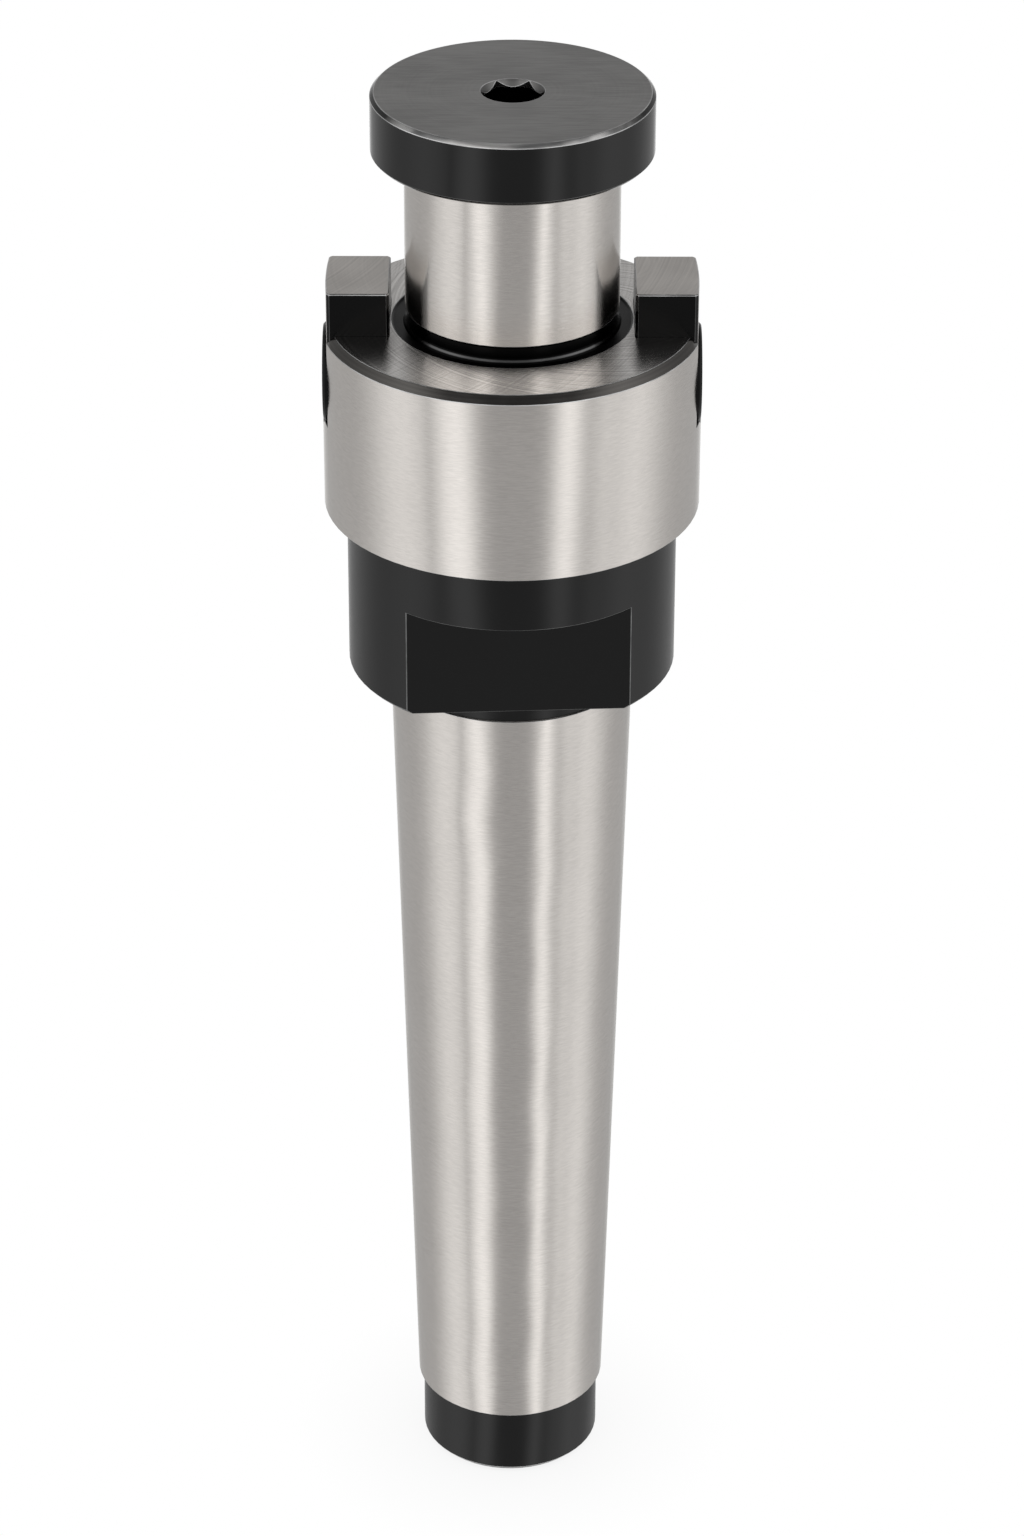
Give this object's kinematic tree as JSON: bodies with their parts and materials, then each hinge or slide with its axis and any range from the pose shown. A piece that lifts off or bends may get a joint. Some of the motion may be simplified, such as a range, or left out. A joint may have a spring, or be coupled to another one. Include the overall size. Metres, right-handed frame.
{
  "type": "shell mill arbor",
  "caption": "Morse taper arbor with a flanged pilot, drive keys and a wide-headed clamp screw that hold a shell mill.",
  "frame": {"origin": "middle of the small end of the shank, which the arbor stands on", "axes": "+Z along the arbor's axis towards the clamp screw, +X towards the right drive key, -Y towards the engraved side of the flange in the picture"},
  "size_m": [0.048, 0.048, 0.2023],
  "materials": {
    "arbor_body": "ground on the taper, pilot, flange face and rim, black oxide elsewhere",
    "left_drive_key": "black oxide with a ground top",
    "right_drive_key": "black oxide with a ground top",
    "left_key_screw": "black oxide",
    "right_key_screw": "black oxide",
    "clamp_screw": "satin black oxide with fine turning marks"
  },
  "bodies": {
    "arbor": {"arbor_body": "arbor_body", "left_drive_key": "left_drive_key", "right_drive_key": "right_drive_key", "left_key_screw": "left_key_screw", "right_key_screw": "right_key_screw"},
    "screw": {"clamp_screw": "clamp_screw"}
  },
  "joints": [
    {"name": "clamp_screw_travel", "type": "slide", "parent": "arbor", "child": "screw", "axis": [0, 0, 1], "range_m": [0, 0.03]}
  ]
}
